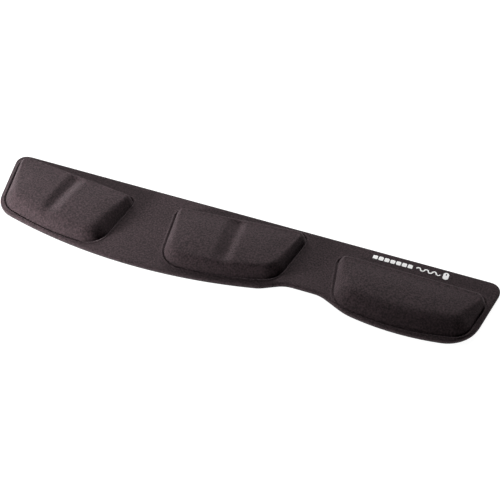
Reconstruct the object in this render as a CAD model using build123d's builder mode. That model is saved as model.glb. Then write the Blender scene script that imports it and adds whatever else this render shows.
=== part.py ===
"""Keyboard wrist rest: a long flat support with three raised palm pads under one fabric cover.

Two pads carry the palms at the keyboard and the third one, on the right, serves the mouse.

Frame: millimetres, +X along the length to the user's right, +Y towards the keyboard, +Z up.
The origin is at the centre of the bounding box, on the underside that rests on the desk.
"""
from build123d import *
from math import cos, radians, sin, tan
import os

# ---------------------------------------------------------------- driving dimensions
LENGTH = 474.0             # overall, left end to right end
DEPTH = 92.0               # overall, straight keyboard edge to the front of the main lobe
PAD_TOP = 17.0             # top of the palm pads above the desk
FLANGE_TOP = 5.0           # top of the flat part around the pads

FABRIC = 0.7               # knitted cover with its bonded backing
BASE_SHEET = 1.2           # non-slip rubber sheet
HEM_WIDTH = 7.0            # how far the cover is turned under the board
BOARD = 1.4                # stiffener
PAD_GLUE = 0.2             # adhesive under each pad
PRINT = 0.1                # heat-transfer film on the cover

BASE_INSET = 0.6           # base sheet inside the cover's side
TAPE_GAP = 0.5             # between the hem and the tape that fills its ring
GLUE_INSET = 3.0           # adhesive inside the pad's side
EDGE_ROUND = 1.6           # rolled upper edge of the cover

# Height of each layer's underside
HEM_Z = BASE_SHEET
BOARD_Z = HEM_Z + FABRIC
FOAM_Z = BOARD_Z + BOARD
PAD_Z = FOAM_Z + PAD_GLUE
FLANGE_FOAM_TOP = FLANGE_TOP - FABRIC

# ---------------------------------------------------------------- outline, seen from above
BACK_Y = DEPTH / 2
FRONT_Y = -DEPTH / 2
LEFT_LEAN = 10.5           # degrees that each end leans in towards the front
RIGHT_LEAN = 9.7
BACK_CORNER = 10.0
LEFT_FRONT_CORNER = 24.0
RIGHT_FRONT_CORNER = 33.0

MAIN_AXIS_X = -86.6        # the typing pads face each other across this line
MAIN_LOBE_X = -84.0
MAIN_LOBE_R = 500.0

SADDLE_Y = BACK_Y - 66.0   # the waist between the typing lobe and the mouse lobe
SADDLE_LEFT_X = 57.0
SADDLE_RIGHT_X = 89.5
SADDLE_LEFT_FLANK = 29.0   # degrees
SADDLE_RIGHT_FLANK = 25.5
SADDLE_LEFT_R = 25.0
SADDLE_RIGHT_R = 25.0
MAIN_LOBE_END_R = 25.0
MOUSE_LOBE_START_R = 50.0

MOUSE_LOBE_X = 163.0
MOUSE_LOBE_Y = BACK_Y - 83.3
MOUSE_LOBE_R = 230.0


def virtual_corner(lean):
    """How far an end line meets the back edge beyond the rounded corner's outermost point."""
    return BACK_CORNER * ((1 + sin(radians(lean))) / cos(radians(lean)) - 1)


def arc_y(x, centre_x, apex_y, radius):
    """Height of a front arc that bulges towards -Y, at x."""
    return apex_y + radius - (radius**2 - (x - centre_x) ** 2) ** 0.5


def on_arc(start_x, start_y, slope, centre_x, apex_y, radius):
    """Where a straight flank from a point, with dy/dx = slope, meets a front arc."""
    x = start_x
    for _ in range(60):
        x += (arc_y(x, centre_x, apex_y, radius) - start_y - slope * (x - start_x)) / (2 * slope)
    return x, arc_y(x, centre_x, apex_y, radius)


def middle_of(start, end, arc):
    """A point on a front arc halfway between two of its points."""
    x = (start[0] + end[0]) / 2
    return x, arc_y(x, *arc)


MAIN_LOBE = (MAIN_LOBE_X, FRONT_Y, MAIN_LOBE_R)
MOUSE_LOBE = (MOUSE_LOBE_X, MOUSE_LOBE_Y, MOUSE_LOBE_R)

left_back = (-LENGTH / 2 - virtual_corner(LEFT_LEAN), BACK_Y)
right_back = (LENGTH / 2 + virtual_corner(RIGHT_LEAN), BACK_Y)
left_front = on_arc(*left_back, -1 / tan(radians(LEFT_LEAN)), *MAIN_LOBE)
right_front = on_arc(*right_back, 1 / tan(radians(RIGHT_LEAN)), *MOUSE_LOBE)
main_lobe_end = on_arc(SADDLE_LEFT_X, SADDLE_Y, tan(radians(SADDLE_LEFT_FLANK)), *MAIN_LOBE)
mouse_lobe_start = on_arc(SADDLE_RIGHT_X, SADDLE_Y, -tan(radians(SADDLE_RIGHT_FLANK)), *MOUSE_LOBE)
saddle_left = (SADDLE_LEFT_X, SADDLE_Y)
saddle_right = (SADDLE_RIGHT_X, SADDLE_Y)


def round_corners(sketch, corners):
    """Fillets the sketch vertex nearest to each point by that point's radius."""
    for point, radius in corners:
        fillet(sketch.vertices().sort_by_distance((*point, 0))[0], radius)


def rest_outline(z, inset=0.0):
    """Sketches the rest's outline at height z, moved in by inset."""
    with BuildSketch(Plane.XY.offset(z)) as outline:
        with BuildLine():
            Line(left_back, left_front)
            ThreePointArc(left_front, middle_of(left_front, main_lobe_end, MAIN_LOBE), main_lobe_end)
            Polyline(main_lobe_end, saddle_left, saddle_right, mouse_lobe_start)
            ThreePointArc(mouse_lobe_start, middle_of(mouse_lobe_start, right_front, MOUSE_LOBE),
                          right_front)
            Polyline(right_front, right_back, left_back)
        make_face()
        round_corners(outline, [
            (left_back, BACK_CORNER), (right_back, BACK_CORNER),
            (right_front, RIGHT_FRONT_CORNER), (left_front, LEFT_FRONT_CORNER),
            (mouse_lobe_start, MOUSE_LOBE_START_R), (saddle_right, SADDLE_RIGHT_R),
            (saddle_left, SADDLE_LEFT_R), (main_lobe_end, MAIN_LOBE_END_R)])
        if inset:
            offset(amount=-inset, mode=Mode.REPLACE)
    return outline.sketch


# ---------------------------------------------------------------- pad outlines
# A pad's crease is drawn with four sharp corners, anticlockwise from the front right one, and an
# arc along the front. The typing pads are set out from the main axis: u is the distance from it.
TYPING_SIDE = {"left": -1, "centre": 1}
PAD_OUTER_U = 147.0        # outer side, carried back to the keyboard edge
PAD_OUTER_LEAN = 10.2      # degrees, towards the axis towards the front
PAD_INNER_U = 18.2         # inner side, carried back to the keyboard edge
PAD_INNER_LEAN = 8.3       # degrees, away from the axis towards the front
PAD_REAR_OUTER = 4.3       # set back from the keyboard edge at the outer corner
PAD_REAR_INNER = {"left": 18.7, "centre": 16.4}    # and at the inner corner
PAD_FRONT = {"left": 84.4, "centre": 81.9}         # and at the front arc's furthest point
PAD_FRONT_U = 38.0         # the front arc is centred on this u
PAD_FRONT_R = 280.0
TYPING_CORNER_R = (24.0, 9.0, 8.0, 23.0)


def typing_pad(name):
    """A typing pad's sharp corners, the middle of its front arc, and each corner's radius."""
    inner_slope = -1 / tan(radians(PAD_INNER_LEAN))
    outer_slope = 1 / tan(radians(PAD_OUTER_LEAN))
    set_back = PAD_REAR_INNER[name]
    front = (PAD_FRONT_U, BACK_Y - PAD_FRONT[name], PAD_FRONT_R)
    front_outer = on_arc(PAD_OUTER_U, BACK_Y, outer_slope, *front)
    rear_outer = (PAD_OUTER_U - PAD_REAR_OUTER / outer_slope, BACK_Y - PAD_REAR_OUTER)
    rear_inner = (PAD_INNER_U - set_back / inner_slope, BACK_Y - set_back)
    front_inner = on_arc(PAD_INNER_U, BACK_Y, inner_slope, *front)
    points = (front_outer, rear_outer, rear_inner, front_inner, middle_of(front_inner, front_outer, front))
    *corners, front_middle = [(MAIN_AXIS_X + TYPING_SIDE[name] * u, y) for u, y in points]
    if TYPING_SIDE[name] > 0:
        return corners, front_middle, TYPING_CORNER_R
    return corners[::-1], front_middle, TYPING_CORNER_R[::-1]


MOUSE_PAD = (
    [(221.3, BACK_Y - 69.5), (230.8, BACK_Y - 19.5), (91.3, BACK_Y - 18.0), (102.5, BACK_Y - 72.2)],
    (152.0, BACK_Y - 79.2), (20.0, 12.0, 9.0, 22.0))
PAD_SHAPES = {"left": typing_pad("left"), "centre": typing_pad("centre"), "right": MOUSE_PAD}


def pad_outline(name, z, inset=0.0):
    """Sketches a pad's crease at height z: with sharp corners, or rounded and moved in by inset."""
    corners, front_middle, radii = PAD_SHAPES[name]
    with BuildSketch(Plane.XY.offset(z)) as outline:
        with BuildLine():
            Polyline(*corners)
            ThreePointArc(corners[-1], front_middle, corners[0])
        make_face()
        if inset:
            round_corners(outline, zip(corners, radii))
            offset(amount=-inset, mode=Mode.REPLACE)
    return outline.sketch


# ---------------------------------------------------------------- pad bodies
PAD_DRAFT = 24.0           # degrees, sides of a pad
PAD_SHOULDER = 8.0         # rounding of a pad's upper edge
PAD_TILT = 4.0             # degrees, fall of a pad's top towards the keyboard
PAD_CREST = 73.0           # from the keyboard edge to where the tops are at their full height
TOP_SPARE = 3.0            # how far a pad's sides are drawn past its top before that is cut

# The relief channel across each typing pad: a steep outer wall and an easy inner one
CHANNEL_U = 80.2           # bottom of the channel from the main axis, at its rear end
CHANNEL_LEAN = 5.3         # degrees, away from the axis towards the front
CHANNEL_DEPTH = 3.2
CHANNEL_OUTER = 5.0        # width of the steep wall
CHANNEL_INNER = 15.0       # width of the easy wall
CHANNEL_REAR = 10.0        # ends, measured from the keyboard edge
CHANNEL_FRONT = 78.0
CHANNEL_BOTTOM_R = 4.0
CHANNEL_TAPER = 4.0        # degrees, so that it grows shallow towards both ends
CUTTER_TOP = 6.0           # how far the channel's cutter stands above the pad


def pad_top(y, inset):
    """Height of the sloping top of the pads at y, moved down by inset."""
    return PAD_TOP - inset - (y - BACK_Y + PAD_CREST) * tan(radians(PAD_TILT))


def channel_profile(side, inset):
    """Sketches the channel's section halfway along it, facing the front."""
    lean = radians(CHANNEL_LEAN)
    run = (CHANNEL_FRONT - CHANNEL_REAR) / 2
    y = BACK_Y - CHANNEL_REAR - run
    halfway = (MAIN_AXIS_X + side * (CHANNEL_U + run * tan(lean)), y, pad_top(y, inset))
    outwards = (side * cos(lean), sin(lean), 0)
    forwards = (side * sin(lean), -cos(lean), cos(lean) * tan(radians(PAD_TILT)))
    up = side    # on the left pad the sketch's second axis points down
    above = 1 + CUTTER_TOP / CHANNEL_DEPTH
    bottom = (0, -up * CHANNEL_DEPTH)
    with BuildSketch(Plane(halfway, x_dir=outwards, z_dir=forwards)) as profile:
        with BuildLine():
            Polyline(bottom, (CHANNEL_OUTER * above, up * CUTTER_TOP),
                     (-CHANNEL_INNER * above, up * CUTTER_TOP), close=True)
        make_face()
        round_corners(profile, [(bottom, CHANNEL_BOTTOM_R)])
    return profile.sketch


def pad_form(name, inset, bottom):
    """A pad's rounded body on its crease, from bottom up, moved in and down by inset."""
    corners, _, radii = PAD_SHAPES[name]
    root = bottom - inset / tan(radians(PAD_DRAFT))    # where the sides would reach the crease
    with BuildPart() as form:
        extrude(pad_outline(name, root), PAD_TOP + TOP_SPARE - root, taper=PAD_DRAFT)
        for corner, radius in zip(corners, radii):
            flanks = form.edges().filter_by(lambda edge: abs((edge @ 1 - edge @ 0).Z) > PAD_SHOULDER)
            fillet(flanks.sort_by_distance((*corner, root))[0], radius - inset)
        slope = Plane((0, BACK_Y, pad_top(BACK_Y, inset)), z_dir=(0, tan(radians(PAD_TILT)), 1))
        split(bisect_by=slope, keep=Keep.BOTTOM)
        fillet(form.faces().sort_by(Axis.Z)[-1].edges(), PAD_SHOULDER - inset)
        if name in TYPING_SIDE:
            extrude(channel_profile(TYPING_SIDE[name], inset), (CHANNEL_FRONT - CHANNEL_REAR) / 2,
                    both=True, taper=CHANNEL_TAPER, mode=Mode.SUBTRACT)
        split(bisect_by=Plane.XY.offset(bottom))
    return form.part


def footprint(form):
    """The flat face that a pad's body stands on."""
    return form.faces().sort_by(Axis.Z)[0]


pad_outsides = {name: pad_form(name, 0.0, FLANGE_TOP) for name in PAD_SHAPES}
pad_insides = {name: pad_form(name, FABRIC, FLANGE_FOAM_TOP) for name in PAD_SHAPES}

# ---------------------------------------------------------------- sub-parts
os.makedirs("parts", exist_ok=True)


def save(piece, name):
    """Labels a finished sub-part and writes it under the name of its node."""
    piece.part.label = name
    export_step(piece.part, f"parts/{name}.step")


# Rubber sheet that grips the desk
with BuildPart() as nonslip_base:
    extrude(rest_outline(0, BASE_INSET), BASE_SHEET)
save(nonslip_base, "nonslip_base")

# Double-sided sheet that bonds the rubber to the board, inside the ring of the cover's hem
with BuildPart() as base_tape:
    extrude(rest_outline(HEM_Z, HEM_WIDTH + TAPE_GAP), BOARD_Z - HEM_Z)
save(base_tape, "base_tape")

# Stiffener that keeps the rest flat
with BuildPart() as stiffener_board:
    extrude(rest_outline(BOARD_Z, FABRIC), BOARD)
save(stiffener_board, "stiffener_board")

# Thin foam on the board, cut out for the three pads
with BuildPart() as flange_foam:
    extrude(rest_outline(FOAM_Z, FABRIC), FLANGE_FOAM_TOP - FOAM_Z)
    fillet(flange_foam.faces().sort_by(Axis.Z)[-1].edges(), EDGE_ROUND - FABRIC)
    for form in pad_insides.values():
        extrude(footprint(form), FLANGE_FOAM_TOP - FOAM_Z, dir=(0, 0, -1), mode=Mode.SUBTRACT)
save(flange_foam, "flange_foam")

for name, form in pad_insides.items():
    # Moulded memory-foam palm pad, with a square skirt that fits the flange foam's opening
    with BuildPart() as pad_foam:
        add(form)
        extrude(footprint(form), FLANGE_FOAM_TOP - PAD_Z, dir=(0, 0, -1))
    save(pad_foam, f"{name}_pad_foam")

    # Adhesive between the pad and the board
    with BuildPart() as pad_adhesive:
        extrude(pad_outline(name, FOAM_Z, GLUE_INSET), PAD_GLUE)
    save(pad_adhesive, f"{name}_pad_adhesive")

# Knitted cover, formed over the foam and turned under the board
with BuildPart() as cover_inside:
    extrude(rest_outline(BOARD_Z, FABRIC), FLANGE_FOAM_TOP - BOARD_Z)
    fillet(cover_inside.faces().sort_by(Axis.Z)[-1].edges(), EDGE_ROUND - FABRIC)
    extrude(rest_outline(HEM_Z, HEM_WIDTH), BOARD_Z - HEM_Z)
    add(list(pad_insides.values()))

with BuildPart() as fabric_cover:
    extrude(rest_outline(HEM_Z), FLANGE_TOP - HEM_Z)
    fillet(fabric_cover.faces().sort_by(Axis.Z)[-1].edges(), EDGE_ROUND)
    add(list(pad_outsides.values()))
    add(cover_inside.part, mode=Mode.SUBTRACT)
save(fabric_cover, "fabric_cover")

# Heat-transfer print on the flange behind the right pad: a row of keys, a wave and a mouse
MARK_X = 120.0             # left end
MARK_Y = BACK_Y - 7.9
KEY_COUNT = 7
KEY_PITCH = 5.4
KEY_SIZE = 4.4
KEY_CORNER = 1.0
WAVE_X = 160.5
WAVE_BENDS = 6
WAVE_STEP = 3.6            # length of one bend
WAVE_RISE = 1.5
WAVE_LINE = 1.2
MOUSE_X = 187.3
MOUSE_SIZE = (5.2, 8.4)
MOUSE_END_R = 2.5
WHEEL_SLOT = (2.4, 0.9)
WHEEL_SLOT_FORWARD = 1.9   # slot's centre ahead of the mouse's centre

with BuildPart() as print_mark:
    with BuildSketch(Plane.XY.offset(FLANGE_TOP)):
        with Locations((MARK_X + KEY_SIZE / 2 + KEY_PITCH * (KEY_COUNT - 1) / 2, MARK_Y)):
            with GridLocations(KEY_PITCH, 1, KEY_COUNT, 1):
                RectangleRounded(KEY_SIZE, KEY_SIZE, KEY_CORNER)
        with BuildLine():
            for bend in range(WAVE_BENDS):
                start = WAVE_X + bend * WAVE_STEP
                crest = MARK_Y + WAVE_RISE * (-1) ** bend
                ThreePointArc((start, MARK_Y), (start + WAVE_STEP / 2, crest), (start + WAVE_STEP, MARK_Y))
        trace(line_width=WAVE_LINE)
        with Locations((MOUSE_X, MARK_Y)):
            RectangleRounded(*MOUSE_SIZE, MOUSE_END_R)
        with Locations((MOUSE_X, MARK_Y + WHEEL_SLOT_FORWARD)):
            SlotOverall(*WHEEL_SLOT, rotation=90, mode=Mode.SUBTRACT)
    extrude(amount=PRINT)
save(print_mark, "print_mark")
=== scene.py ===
"""Looks of a keyboard wrist rest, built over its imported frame.

It follows the rest as it is put together, from the rubber underside up to the cover and its print.
Lengths are in millimetres until a mesh is made, and every height is read from the frame.
"""
import bpy
import math
import numpy as np
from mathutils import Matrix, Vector, geometry


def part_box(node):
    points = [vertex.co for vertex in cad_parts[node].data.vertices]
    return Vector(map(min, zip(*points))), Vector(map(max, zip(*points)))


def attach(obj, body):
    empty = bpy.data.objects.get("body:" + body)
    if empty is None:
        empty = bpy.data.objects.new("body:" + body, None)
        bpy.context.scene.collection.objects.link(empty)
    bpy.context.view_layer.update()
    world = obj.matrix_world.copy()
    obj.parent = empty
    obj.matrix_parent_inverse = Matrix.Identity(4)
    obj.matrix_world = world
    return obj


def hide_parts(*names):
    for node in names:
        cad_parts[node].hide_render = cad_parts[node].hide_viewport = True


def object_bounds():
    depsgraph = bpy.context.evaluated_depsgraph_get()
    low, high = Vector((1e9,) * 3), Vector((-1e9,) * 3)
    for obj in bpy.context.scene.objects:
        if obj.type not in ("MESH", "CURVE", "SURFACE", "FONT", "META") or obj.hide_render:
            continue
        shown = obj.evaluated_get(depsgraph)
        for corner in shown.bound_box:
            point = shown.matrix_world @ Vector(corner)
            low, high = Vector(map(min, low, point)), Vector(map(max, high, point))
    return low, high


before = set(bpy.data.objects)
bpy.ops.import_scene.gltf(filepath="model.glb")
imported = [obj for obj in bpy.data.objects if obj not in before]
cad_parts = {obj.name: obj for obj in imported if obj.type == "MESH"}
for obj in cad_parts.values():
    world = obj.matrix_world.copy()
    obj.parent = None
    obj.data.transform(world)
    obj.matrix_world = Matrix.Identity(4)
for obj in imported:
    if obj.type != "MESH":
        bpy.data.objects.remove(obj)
cad_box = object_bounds()
MM = 0.001


# ---- Non-slip base
# The underside is a die-cut sheet of matt black rubber, bonded over the cover's turned-in hem.
# Small round studs and a plain border are moulded into the face that grips the desk.

def height_of(node, end):
    """The lowest (end 0) or highest (end 1) level of a frame node."""
    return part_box(node)[end].z / MM


def chains(edges):
    """Joins directed edges head to tail into closed loops, the longest first."""
    following = dict(edges)
    loops = []
    while following:
        start, here = following.popitem()
        loop = [start]
        while here != start:
            loop.append(here)
            here = following.pop(here)
        loops.append(loop)
    return sorted(loops, key=len, reverse=True)


def rims(triangles):
    """The directed edges that only one triangle has."""
    edges = {(t[k], t[(k + 1) % len(t)]) for t in triangles for k in range(len(t))}
    return [(a, b) for a, b in edges if (b, a) not in edges]


def face_outline(node, level):
    """The corners, in order, round a frame node's flat face at a level."""
    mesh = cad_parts[node].data
    corners = [tuple(round(c / MM, 3) for c in v.co) for v in mesh.vertices]
    face = [[corners[i] for i in p.vertices] for p in mesh.polygons]
    face = [ring for ring in face if all(abs(c[2] - level) < 0.01 for c in ring)]
    return np.array(chains(rims(face))[0])[:, :2]


class Cut:
    """A closed cutting line in plan, run anticlockwise through evenly spaced marks."""

    def __init__(self, corners, pitch=0.9, ease=0.0):
        closed = np.vstack([corners, corners[:1]])
        if (closed[:-1, 0] * closed[1:, 1] - closed[1:, 0] * closed[:-1, 1]).sum() < 0:
            closed = closed[::-1]
        run = np.concatenate([[0], np.cumsum(np.hypot(*np.diff(closed, axis=0).T))])
        count = int(round(run[-1] / pitch))
        marks = np.arange(count) * run[-1] / count
        line = np.stack([np.interp(marks, run, closed[:, k]) for k in (0, 1)], 1)
        waves = np.exp(-2 * (np.pi * np.fft.fftfreq(count, run[-1] / count) * ease) ** 2)
        self.line = np.fft.ifft(np.fft.fft(line, axis=0) * waves[:, None], axis=0).real
        ahead = np.roll(self.line, -1, 0) - np.roll(self.line, 1, 0)
        ahead /= np.hypot(*ahead.T)[:, None]
        self.outward = np.stack([ahead[:, 1], -ahead[:, 0]], 1)

    def ring(self, inset):
        """The line moved in by inset, mark for mark."""
        return self.line - self.outward * inset

    def depth(self, points):
        """How far inside the line each point lies, negative outside, and the nearest mark."""
        depths, marks = [], []
        for part in np.array_split(points, len(points) // 3000 + 1):
            gap = ((part[:, None] - self.line[None]) ** 2).sum(2)
            near = gap.argmin(1)
            best = np.full(len(part), 1e9)
            for step in (-1, 0):
                a = self.line[(near + step) % len(self.line)]
                b = self.line[(near + step + 1) % len(self.line)]
                along = b - a
                share = np.clip(((part - a) * along).sum(1) / (along ** 2).sum(1), 0, 1)
                away = part - a - along * share[:, None]
                turn = along[:, 0] * away[:, 1] - along[:, 1] * away[:, 0]
                here = np.copysign(np.hypot(*away.T), turn)
                best = np.where(np.abs(here) < np.abs(best), here, best)
            depths.append(best)
            marks.append(near)
        return np.concatenate(depths), np.concatenate(marks)


def ramp(value, start, end):
    """0 before start, 1 after end, and smooth between them."""
    t = np.clip((value - start) / (end - start), 0, 1)
    return t * t * (3 - 2 * t)


def mesh_piece(name, points, faces, sharp=40):
    """A smooth-shaded object from points in millimetres."""
    mesh = bpy.data.meshes.new(name)
    mesh.from_pydata([tuple(p) for p in np.asarray(points) * MM], [], faces)
    mesh.polygons.foreach_set("use_smooth", [True] * len(mesh.polygons))
    mesh.set_sharp_from_angle(angle=math.radians(sharp))
    piece = bpy.data.objects.new(name, mesh)
    bpy.context.scene.collection.objects.link(piece)
    return piece


SLIVER = 0.002      # a triangle this close to a ring is a flat one along a straight stretch


def triangulated(rings, fill):
    """Triangles over the plan inside the first ring and outside the others, through the fill points."""
    edges, count = [], 0
    for ring in rings:
        edges += [(count + k, count + (k + 1) % len(ring)) for k in range(len(ring))]
        count += len(ring)
    plan = np.vstack([*rings, fill])
    made = geometry.delaunay_2d_cdt([Vector(p) for p in plan], edges, [], 0, 0.01, False)
    plan, faces = np.array([tuple(v) for v in made[0]]), made[2]
    middles = plan[np.array([f[:3] for f in faces])].mean(1)
    kept = Cut(rings[0]).depth(middles)[0] > SLIVER
    for ring in rings[1:]:
        kept &= Cut(ring).depth(middles)[0] < -SLIVER
    return plan, [list(f) for f, keep in zip(faces, kept) if keep]


def slab(name, rings, fill, top, under, sharp=40):
    """A closed piece over a plan area between two surfaces, given as functions of the plan."""
    plan, faces = triangulated(rings, fill)
    count = len(plan)
    points = np.vstack([np.column_stack([plan, top(plan)]), np.column_stack([plan, under(plan)])])
    walls = [[a, a + count, b + count, b] for a, b in rims(faces)]
    turned = [[i + count for i in reversed(f)] for f in faces]
    used = sorted({i for f in faces for i in f})
    used = used + [i + count for i in used]
    order = {old: new for new, old in enumerate(used)}
    faces = [[order[i] for i in f] for f in faces + turned + walls]
    return mesh_piece(name, points[used], faces, sharp)


def grid(low, high, pitch):
    """Points in staggered rows over a plan rectangle."""
    rows = np.arange(low[1], high[1], pitch * 0.866)
    steps = np.arange(low[0], high[0], pitch)
    return np.array([(x + (k % 2) * pitch / 2, y) for k, y in enumerate(rows) for x in steps])


class Wire:
    """A node's output that takes part in sums: each one adds the Math node that works it out."""

    def __init__(self, finish, socket):
        self.finish, self.socket = finish, socket

    def worked(self, operation, first, second):
        """The output of a new Math node."""
        return self.finish.add("ShaderNodeMath", {"operation": operation}, {0: first, 1: second})

    def __add__(self, other):
        return self.worked("ADD", self, other)

    def __sub__(self, other):
        return self.worked("SUBTRACT", self, other)

    def __rsub__(self, other):
        return self.worked("SUBTRACT", other, self)

    def __mul__(self, other):
        return self.worked("MULTIPLY", self, other)

    __radd__, __rmul__ = __add__, __mul__


class Finish:
    """A material. add() makes one node, its settings first, and returns the output that is used."""

    def __init__(self, slot, **surface):
        self.slot = slot
        self.material = bpy.data.materials.new(slot + "_finish")
        self.material.use_nodes = True
        self.tree = self.material.node_tree
        self.shader = self.tree.nodes["Principled BSDF"]
        self.feed(self.shader, {name.replace("_", " "): value for name, value in surface.items()})
        self.place = self.add("ShaderNodeTexCoord", {}, {}, "Object")

    def add(self, kind, settings, inputs, output=0):
        node = self.tree.nodes.new(kind)
        for name, value in settings.items():
            setattr(node, name, value)
        self.feed(node, inputs)
        return Wire(self, node.outputs[output])

    def feed(self, node, inputs):
        """Links or sets a node's inputs."""
        for socket, value in inputs.items():
            if isinstance(value, Wire):
                self.tree.links.new(value.socket, node.inputs[socket])
            else:
                node.inputs[socket].default_value = value

    def noise(self, size, detail=2.0, squeeze=(1, 1, 1)):
        """Blotches about size millimetres across, from 0 to 1."""
        place = self.add("ShaderNodeVectorMath", {"operation": "MULTIPLY"}, {0: self.place, 1: squeeze})
        return self.add("ShaderNodeTexNoise", {}, {
            "Vector": place, "Scale": 1 / (size * MM), "Detail": detail})

    def waves(self, axis, pitch):
        """A sine across one axis, from -1 to 1, repeating every pitch millimetres."""
        spread = self.add("ShaderNodeSeparateXYZ", {}, {0: self.place}, axis)
        angle = spread * (2 * math.pi / (pitch * MM))
        return self.add("ShaderNodeMath", {"operation": "SINE"}, {0: angle})

    def blend(self, share, first, second):
        """A colour that goes from first to second with share."""
        return self.add("ShaderNodeMix", {"data_type": "RGBA"}, {0: share, 6: first, 7: second}, 2)

    def relief(self, height, rise):
        """Raises the surface by height, with 1 standing rise millimetres high."""
        bump = self.add("ShaderNodeBump", {}, {
            "Height": height, "Distance": rise * MM, "Strength": 1.0})
        self.feed(self.shader, {"Normal": bump})

    def cover(self, *pieces):
        """Puts the material on the pieces."""
        for piece in pieces:
            piece.data.materials.clear()
            piece.data.materials.append(self.material)


STUD_PITCH, STUD_R, STUD_RISE = 5.2, 1.35, 0.35
STUD_FIELD = (-240, -50), (240, 50)     # a rectangle wider than the sheet
STUD_INSET = 5.0                        # the outermost studs, from the sheet's edge
BORDER, BORDER_STEP = 2.2, 3.0          # the plain border ends between these insets
EDGE_R, EDGE_RISE = 0.9, 0.2            # the rounded lower edge
base_top = height_of("nonslip_base", 1)
base_cut = Cut(face_outline("nonslip_base", height_of("nonslip_base", 0)), ease=1.5)
studs = grid(*STUD_FIELD, STUD_PITCH)
studs = studs[base_cut.depth(studs)[0] > STUD_INSET]
turn = np.arange(12) * math.pi / 6
circle = np.stack([np.cos(turn), np.sin(turn)], 1)[None]
stud_rings = [studs] + [(studs[:, None] + r * circle).reshape(-1, 2)
                        for r in (STUD_R * 0.62, STUD_R * 0.88, STUD_R)]
border_rows = [base_cut.ring(inset) for inset in (0.4, EDGE_R, BORDER, BORDER_STEP)]


def base_under(plan):
    """The studs and the border stand on the desk and the sheet between them is clear of it."""
    nearest = np.concatenate([((part[:, None] - studs[None]) ** 2).sum(2).min(1)
                              for part in np.array_split(plan, 40)]) ** 0.5
    depth = base_cut.depth(plan)[0]
    raised = STUD_RISE * ramp(nearest, STUD_R * 0.6, STUD_R) * ramp(depth, BORDER, BORDER_STEP)
    return raised + EDGE_RISE * ramp(-depth, -EDGE_R, 0)


base = slab("tread_base", [base_cut.line], np.vstack(border_rows + stud_rings),
            lambda plan: np.full(len(plan), base_top), base_under)

rubber = Finish("rubber_sheet", Roughness=0.72, Specular_IOR_Level=0.35)
dust = rubber.noise(9, 3)
rubber.feed(rubber.shader, {
    "Base Color": rubber.blend(dust, (0.012, 0.012, 0.0125, 1), (0.024, 0.0235, 0.0235, 1)),
    "Roughness": 0.62 + dust * 0.2})
rubber.relief(rubber.noise(0.45, 1) * 0.6 + rubber.noise(1.6, 2) * 0.4, 0.04)
rubber.cover(base)
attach(base, "root")
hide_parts("nonslip_base")


# ---- Double-sided sheet and stiffener
# A sheet of clear adhesive fills the ring of the hem and holds the rubber to the board.
# The board is black polypropylene sheet, guillotined to the outline, that keeps the rest flat.

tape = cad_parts["base_tape"]
glue = Finish("adhesive", Roughness=0.45, Coat_Weight=0.15)
streaks = glue.noise(6, 4, (1, 0.25, 1))
glue.feed(glue.shader, {
    "Base Color": glue.blend(streaks, (0.42, 0.39, 0.30, 1), (0.56, 0.53, 0.44, 1)),
    "Roughness": 0.35 + streaks * 0.3})
glue.relief(streaks, 0.03)
glue.cover(tape)

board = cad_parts["stiffener_board"]
polypropylene = Finish("board", Roughness=0.5)
grain = polypropylene.noise(0.7, 3, (1, 3, 1))
polypropylene.feed(polypropylene.shader, {
    "Base Color": polypropylene.blend(grain, (0.011, 0.011, 0.012, 1), (0.020, 0.020, 0.021, 1)),
    "Roughness": 0.4 + grain * 0.25})
polypropylene.relief(grain, 0.02)
polypropylene.cover(board)


# ---- Shape of the padded top
# The knitted cover is pressed down over the pads in a heated tool: it follows each pad up from a
# crisp crease, and the channels that free the wrists are formed in the two typing pads.

PADS = ("left", "centre", "right")
flange = height_of("print_mark", 0)
pad_top = height_of("fabric_cover", 1)
fabric = pad_top - height_of("left_pad_foam", 1)
base_inset = (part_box("nonslip_base")[0].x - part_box("fabric_cover")[0].x) / MM
outline = Cut(base_cut.ring(-base_inset))
creases = {}
for name in PADS:
    node = f"{name}_pad_foam"
    footing = Cut(face_outline(node, height_of(node, 0)), ease=1.2)
    creases[name] = Cut(footing.ring(-fabric))

# How far in a wall climbs and how full its rounding is, at the keyboard side and at the front
REAR_SHOULDER, REAR_ROUNDING = 5.5, 2.3
FRONT_SHOULDER = {"left": 14.0, "centre": 9.5, "right": 17.0}
FRONT_ROUNDING = {"left": 2.3, "centre": 2.1, "right": 1.7}
WALL_START, WALL_END = 4, 0.85      # where the wall changes: millimetres, and a share of the pad
REAR_RISE = 7.0                     # a pad is lower at the keyboard side and a wedge from there on
WEDGE_START, WEDGE_END = -0.1, 0.75     # shares of the pad
CROWN, CROWN_WIDTH = 1.0, 27        # and it is slightly domed

# Soft bands along the crease: height, place inside it and width
GROOVE, GROOVE_AT, GROOVE_WIDTH = 1.45, 0.1, 0.75   # pressed into the crease
FRONT_LOSS = 0.7                                    # of the groove, at the front
LIP, LIP_AT, LIP_WIDTH = 0.5, -1.8, 0.65            # the flat part swells beside it
CREST, CREST_AT, CREST_WIDTH = 0.5, 4.8, 1.6        # the knit draws up over the keyboard side


def band(depth, at, width):
    """A band along the crease, 1 in its middle."""
    return np.exp(-((depth - at) / width) ** 2)


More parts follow.
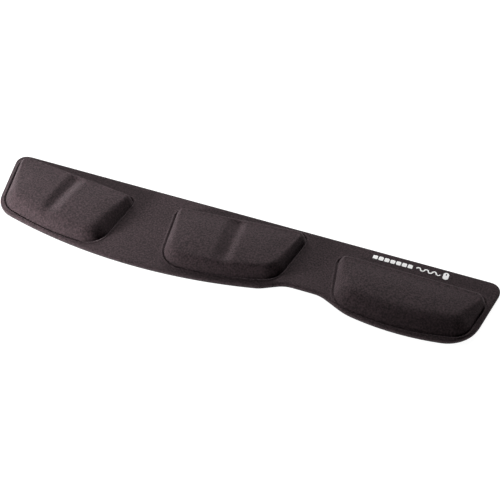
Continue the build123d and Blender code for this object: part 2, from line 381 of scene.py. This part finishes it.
def climb(name, plan):
    """How high a pad stands over the flat part, and how far inside its crease each point is."""
    crease = creases[name]
    depth, mark = crease.depth(plan)
    foot = crease.line[mark][:, 1]
    low, high = crease.line[:, 1].min(), crease.line[:, 1].max()
    forward = ramp(high - foot, WALL_START, WALL_END * (high - low))
    width = REAR_SHOULDER + (FRONT_SHOULDER[name] - REAR_SHOULDER) * forward
    rounding = REAR_ROUNDING + (FRONT_ROUNDING[name] - REAR_ROUNDING) * forward
    share = np.clip(depth / width, 0, 1)
    level = ramp((high - plan[:, 1]) / (high - low), WEDGE_START, WEDGE_END)
    level = REAR_RISE + (pad_top - flange - CROWN - REAR_RISE) * level
    height = level * (1 - (1 - share) ** rounding) + CROWN * ramp(depth, 0, CROWN_WIDTH)
    groove = GROOVE * (1 - FRONT_LOSS * forward) * band(depth, GROOVE_AT, GROOVE_WIDTH)
    lip = LIP * band(depth, LIP_AT, LIP_WIDTH)
    crest = CREST * (1 - forward) * band(depth, CREST_AT, CREST_WIDTH)
    return height - groove + lip + crest, depth


# A channel runs from the keyboard side to the front, leaning away from the line between the pads.
AXIS_X = (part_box("left_pad_foam")[1].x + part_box("centre_pad_foam")[0].x) / 2 / MM
BACK_Y = cad_box[1].y / MM
CHANNEL_U, CHANNEL_LEAN = 80.2, math.radians(5.3)
CHANNEL_DEPTH = 3.0
REAR_FADE, FRONT_FADE = (6.0, 23.0), (-80.0, -56.0)     # its ends, from the keyboard edge
INNER_WALL, OUTER_WALL = (-12.0, 0.8), (-9.0, 0.6)      # each wall runs a little past the bottom


def channel(side, plan):
    """How deep the channel is at each point, with side -1 on the left pad and 1 on the centre one."""
    across = side * (plan[:, 0] - AXIS_X) - CHANNEL_U
    down = BACK_Y - plan[:, 1]
    across, down = (across * math.cos(CHANNEL_LEAN) - down * math.sin(CHANNEL_LEAN),
                    down * math.cos(CHANNEL_LEAN) + across * math.sin(CHANNEL_LEAN))
    length = ramp(down, *REAR_FADE) * ramp(-down, *FRONT_FADE)
    return CHANNEL_DEPTH * length * ramp(across, *INNER_WALL) * ramp(-across, *OUTER_WALL)


swelling = {name: None for name in PADS}


def padded_top(plan):
    """The height of the cover's face."""
    height = np.full(len(plan), flange)
    for name in PADS:
        rise, depth = climb(name, plan)
        if name != "right":
            rise = rise - channel(-1 if name == "left" else 1, plan) * ramp(depth, 1, 7)
        if swelling[name]:
            rise = rise + swelling[name](plan) * ramp(depth, 0, 5)
        height += rise
    return height


def rings_round(cut, insets):
    """Rows of points beside a line, without those that would fold over at a corner."""
    kept = []
    for inset in insets:
        ring = cut.ring(inset)
        kept.append(ring[np.abs(cut.depth(ring)[0] - inset) < 0.04])
    return np.vstack(kept)


# ---- Foam under the pads
# The cloth and the foam below it swell a little where nothing holds them, most at a pad's middle.
# Each pad's skin is blown up as cloth from a coarse shell, pinned along its crease.

SWELL_LIMIT = 1.3               # no point rises or sinks further than this
SHELL_GRID, SHELL_PITCH = 4.5, 4.0      # spacing of the coarse shell's points, inside and along its edge
SHELL_BELOW = 2.0               # the shell reaches this far under the flat part
HELD_RISE = 2.5                 # and whatever is lower than this over it is held
SWELL_FRAMES = 20
SWELL_SPREAD = 4.5              # the rise is smoothed over this distance


def swell(name):
    """Runs the cloth on a coarse shell of one pad, and returns its rise as a function of the plan."""
    crease = creases[name]
    low, high = crease.line.min(0), crease.line.max(0)
    fill = grid(low, high, SHELL_GRID)
    fill = fill[crease.depth(fill)[0] > 3]
    edge = Cut(crease.line, pitch=SHELL_PITCH).line
    shell = slab(f"swelling_{name}", [edge], fill, padded_top,
                 lambda plan: np.full(len(plan), flange - SHELL_BELOW))
    rest = np.array([v.co for v in shell.data.vertices])
    held = shell.vertex_groups.new(name="held")
    free_level = (flange + HELD_RISE) * MM
    held.add([i for i, p in enumerate(rest) if p[2] < free_level], 1.0, "REPLACE")
    cloth = shell.modifiers.new("cloth", "CLOTH")
    cloth.settings.use_pressure = True
    cloth.settings.uniform_pressure_force = 4.0
    cloth.settings.vertex_group_mass = "held"
    cloth.settings.tension_stiffness = 60
    cloth.settings.bending_stiffness = 20
    cloth.settings.effector_weights.gravity = 0
    cloth.point_cache.frame_end = SWELL_FRAMES
    for step in range(1, SWELL_FRAMES + 1):
        bpy.context.scene.frame_set(step)
    shaped = shell.evaluated_get(bpy.context.evaluated_depsgraph_get())
    blown = np.array([v.co for v in shaped.data.vertices])
    above = rest[:, 2] > flange * MM
    rise = np.clip((blown - rest)[:, 2] / MM, -SWELL_LIMIT, SWELL_LIMIT)[above]
    at = rest[above][:, :2] / MM
    mesh = shell.data
    bpy.data.objects.remove(shell)
    bpy.data.meshes.remove(mesh)
    bpy.context.scene.frame_set(1)

    def spread(plan):
        """The smoothed rise at each point of the plan."""
        low, high = at.min(0) - 2, at.max(0) + 2
        inside = ((plan > low) & (plan < high)).all(1)
        found = np.zeros(len(plan))
        for part in np.array_split(np.flatnonzero(inside), max(1, inside.sum() // 3000)):
            weight = np.exp(-((plan[part][:, None] - at[None]) ** 2).sum(2) / (2 * SWELL_SPREAD ** 2))
            found[part] = (weight @ rise) / (weight.sum(1) + 1e-9)
        return found

    return spread


swelling = {name: swell(name) for name in PADS}

foam = Finish("foam", Roughness=0.95)
CELL = 0.7
cells = foam.add("ShaderNodeTexVoronoi", {"feature": "F1"}, {
    "Vector": foam.place, "Scale": 1 / (CELL * MM)})
foam.feed(foam.shader, {
    "Base Color": foam.blend(cells, (0.008, 0.008, 0.009, 1), (0.024, 0.024, 0.026, 1)),
    "Roughness": 0.9 + foam.noise(4) * 0.08})
foam.relief(cells, 0.3)

SHRINK = 0.05               # the foam stands clear of the cloth and of its neighbours by this much
FOAM_GRID, WALLS_END = 2.6, 14.5        # spacing of the top's points, and where it takes over
board_top = height_of("stiffener_board", 1)
flange_foam_top = height_of("flange_foam", 1)
pad_insets = [0.9, 1.3, 1.9, 2.7, 3.6, 4.7, 6, 7.5, 9, 11, 13]
for name, crease in creases.items():
    node = f"{name}_pad_foam"
    rim = crease.ring(fabric + SHRINK)
    low, high = rim.min(0), rim.max(0)
    fill = grid(low, high, FOAM_GRID)
    fill = np.vstack([fill[crease.depth(fill)[0] > WALLS_END], rings_round(crease, pad_insets)])
    footing = height_of(node, 0)
    pad = slab(f"{name}_pad_core", [rim], fill, lambda plan: padded_top(plan) - fabric - SHRINK,
               lambda plan: np.full(len(plan), footing))
    foam.cover(pad)
    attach(pad, "root")
    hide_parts(node)
    glue.cover(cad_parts[f"{name}_pad_adhesive"])


# ---- Thin foam of the flat part
# A millimetre of foam covers the board round the pads, and its openings locate them.
# The tool squeezes it thin under each crease and rolls its edge down at the outline.

ROLL_DOWN = 0.7             # how far the foam's edge is rolled down at the outline
beside_rows = [-2.8, -2.0, -1.3, -0.7, -0.2, 0.3]


def thin_foam_top(plan):
    """The foam fills the space under the cloth, up to its own thickness."""
    under_cloth = padded_top(plan) - fabric - SHRINK
    rolled = ROLL_DOWN * ramp(2.2 - outline.depth(plan)[0], 0, 1.5)
    return np.clip(under_cloth, board_top + 0.06, flange_foam_top) - rolled


openings = [crease.ring(fabric) for crease in creases.values()]
fill = grid(outline.line.min(0), outline.line.max(0), 3.0)
depth = outline.depth(fill)[0]
clear = np.all([crease.depth(fill)[0] < -3.5 for crease in creases.values()], 0)
fill = fill[(depth > 4) & clear]
beside = np.vstack([rings_round(crease, beside_rows) for crease in creases.values()])
beside = beside[outline.depth(beside)[0] > 1.5]
flange_sheet = slab("flange_core", [outline.ring(fabric + SHRINK), *openings],
                    np.vstack([fill, beside, outline.ring(1.1)]), thin_foam_top,
                    lambda plan: np.full(len(plan), board_top))
foam.cover(flange_sheet)
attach(flange_sheet, "root")
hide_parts("flange_foam")


# ---- Knitted cover
# One piece of fine charcoal knit is laminated over foam and board in one pressing.
# It is pulled round the rolled edge and its hem is glued flat under the board.

hem_under = height_of("fabric_cover", 0)
hem_top = height_of("stiffener_board", 0)
hem_width = (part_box("base_tape")[0].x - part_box("fabric_cover")[0].x) / MM - 0.5
FIRST = 1.8                 # the laid skin ends this far in, and the edge is built from there
COVER_GRID = 1.5
pad_rows = [-3.6, -3.0, -2.5, -2.1, -1.75, -1.4, -1.1, -0.8, -0.55, -0.3, -0.1, 0.1, 0.3, 0.55,
            0.8, 1.1, 1.5, 2.0, 2.6, 3.3, 4.1, 5.0, 6.0, 7.0, 8.0, 9.2, 10.5, 12.0, 13.6]
fill = grid(outline.line.min(0), outline.line.max(0), COVER_GRID)
depths = np.array([crease.depth(fill)[0] for crease in creases.values()])
fill = fill[((depths < -4.3) | (depths > WALLS_END)).all(0) & (outline.depth(fill)[0] > FIRST + 3)]
rows = [fill]
for name, crease in creases.items():
    near = rings_round(crease, pad_rows)
    rows.append(near[outline.depth(near)[0] > FIRST + 0.45])
for inset in (0.7, 1.5, 2.4):
    row = outline.ring(FIRST + inset)
    free = np.all([crease.depth(row)[0] < -3.9 for crease in creases.values()], 0)
    rows.append(row[free])
plan, faces = triangulated([outline.ring(FIRST)], np.vstack(rows))
face_heights = padded_top(plan)
count = len(plan)
pressed = np.maximum(face_heights - fabric, board_top + 0.05)
points = [np.column_stack([plan, face_heights]), np.column_stack([plan, pressed])]
faces = faces + [[i + count for i in reversed(f)] for f in faces]
border = chains(rims(faces[:len(faces) // 2]))[0]
loop = plan[border]
edge = np.array([np.argmin(((outline.ring(FIRST) - p) ** 2).sum(1)) for p in loop])
start_rise = face_heights[border] - flange

# (inset, level) from the skin's border over the pressed line and the rolled edge
roll = [(1.62, flange - 0.04), (1.45, flange - 0.16), (1.28, flange - 0.22), (1.1, flange - 0.16),
        (0.9, flange - 0.12), (0.65, flange - 0.22), (0.4, flange - 0.46), (0.2, flange - 0.82),
        (0.06, flange - 1.3), (0.0, flange - 1.9), (0.0, flange - 2.7)]
# round the hem
roll += [(0.06, hem_under + 0.55), (0.22, hem_under + 0.2), (0.5, hem_under), (1.6, hem_under),
         (4.0, hem_under), (hem_width, hem_under), (hem_width + 0.15, hem_under + fabric / 2)]
# and back along the inside
roll += [(hem_width, hem_top), (4.0, hem_top), (1.6, hem_top), (0.9, hem_top + 0.05),
         (0.7, hem_top + 0.3), (0.7, hem_top + 1.2), (0.78, flange - 1.5), (1.0, flange - 1.05),
         (1.35, flange - 0.8)]
CARRIED = 5         # rings of the roll over which a pad's rise at the border dies out
previous = border
for number, (inset, level) in enumerate(roll):
    ring = outline.ring(inset)[edge]
    carried = start_rise * (1 - number / CARRIED) if number < CARRIED else 0.0
    carried = carried + (start_rise if number == len(roll) - 1 else 0.0)
    first = sum(len(p) for p in points)
    points.append(np.column_stack([ring, np.full(len(ring), level) + carried]))
    here = list(range(first, first + len(ring)))
    faces += [[previous[k], here[k], here[(k + 1) % len(here)], previous[(k + 1) % len(here)]]
              for k in range(len(here))]
    previous = here
inner = [i + count for i in border]
faces += [[previous[k], inner[k], inner[(k + 1) % len(inner)], previous[(k + 1) % len(inner)]]
          for k in range(len(inner))]
cover = mesh_piece("knit_cover", np.vstack(points), faces, sharp=75)

knit = Finish("knit_fabric", Roughness=0.86, Specular_IOR_Level=0.2,
              Sheen_Weight=0.16, Sheen_Roughness=0.4, Sheen_Tint=(0.85, 0.72, 0.76, 1))
wales = knit.waves("X", 0.95) * knit.waves("Y", 0.8)
fuzz = knit.noise(1.6, 3)
cloud = knit.noise(26, 2)
shade = fuzz * 3.0 + cloud * 0.3 + wales * 0.1 - 1.2
knit.feed(knit.shader, {
    "Base Color": knit.blend(shade, (0.0167, 0.0107, 0.0121, 1), (0.0547, 0.0350, 0.0398, 1)),
    "Roughness": 0.8 + fuzz * 0.15})
knit.relief(wales * 0.3 + fuzz * 1.2, 0.22)
knit.cover(cover)
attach(cover, "root")
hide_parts("fabric_cover")


# ---- Print
# The mark is white film, cut and heat-pressed onto the knit behind the mouse pad.
# It shows seven keys, a wave and a mouse, and takes a trace of the knit's grain.

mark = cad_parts["print_mark"]
film = Finish("print_film", Roughness=0.55)
grain = film.noise(0.8, 2)
film.feed(film.shader, {
    "Base Color": film.blend(grain, (0.90, 0.90, 0.90, 1), (0.98, 0.98, 0.97, 1)),
    "Roughness": 0.5 + grain * 0.15})
film.relief(grain, 0.03)
film.cover(mark)


# ---- Studio
# A pale glowing board lies under the rest. Two soft lamps stand behind it, one to the left,
# and a small low one stands in front at the left.

sweep = bpy.data.meshes.new("sweep")
REACH, BELOW = 6, -0.0003
sweep.from_pydata([(-REACH, -REACH, BELOW), (REACH, -REACH, BELOW), (REACH, REACH, BELOW),
                   (-REACH, REACH, BELOW)], [], [(0, 1, 2, 3)])
floor = bpy.data.objects.new("floor", sweep)
bpy.context.scene.collection.objects.link(floor)
paper = Finish("pale_paper", Roughness=0.9, Emission_Color=(1, 1, 1, 1), Emission_Strength=0.97)
mottle = paper.blend(paper.noise(40), (0.28, 0.28, 0.28, 1), (0.30, 0.30, 0.30, 1))
paper.feed(paper.shader, {"Base Color": mottle})
floor.data.materials.append(paper.material)


def lamp(name, place, size, power, spread, aim):
    """A round soft lamp, spread in degrees."""
    light = bpy.data.lights.new(name, "AREA")
    light.shape, light.size, light.energy, light.spread = "DISK", size, power, math.radians(spread)
    holder = bpy.data.objects.new(name, light)
    holder.location = place
    holder.rotation_mode = "QUATERNION"
    holder.rotation_quaternion = (Vector(aim) - Vector(place)).to_track_quat("-Z", "Y")
    bpy.context.scene.collection.objects.link(holder)


lamp("key", (0.0, 0.9, 0.6), 0.4, 8.8, 170, (0, 0, 0))
lamp("fill", (-0.8, 0.6, 0.6), 0.4, 5.8, 170, (0, 0, 0))
lamp("side", (-0.42, -0.25, 0.12), 0.1, 1.3, 110, (-0.15, 0, 0))

world = bpy.data.worlds.new("studio")
bpy.context.scene.world = world
world.use_nodes = True
world.node_tree.nodes["Background"].inputs["Color"].default_value = (1, 1, 1, 1)
world.node_tree.nodes["Background"].inputs["Strength"].default_value = 0.02

# The camera looks down at the rest from the front right.
VIEW_AZIMUTH, VIEW_ELEVATION, VIEW_DISTANCE = math.radians(20.92), math.radians(46.93), 1.234
aim = Vector((0.01248, 0.01049, 0.0))
back = Vector((math.sin(VIEW_AZIMUTH) * math.cos(VIEW_ELEVATION),
               -math.cos(VIEW_AZIMUTH) * math.cos(VIEW_ELEVATION), math.sin(VIEW_ELEVATION)))
lens = bpy.data.cameras.new("camera")
lens.sensor_width = 36.0
lens.lens = 98.17
camera = bpy.data.objects.new("camera", lens)
camera.location = aim + back * VIEW_DISTANCE
camera.rotation_mode = "QUATERNION"
camera.rotation_quaternion = (-back).to_track_quat("-Z", "Y")
bpy.context.scene.collection.objects.link(camera)
bpy.context.scene.camera = camera
bpy.context.scene.view_settings.view_transform = "Standard"
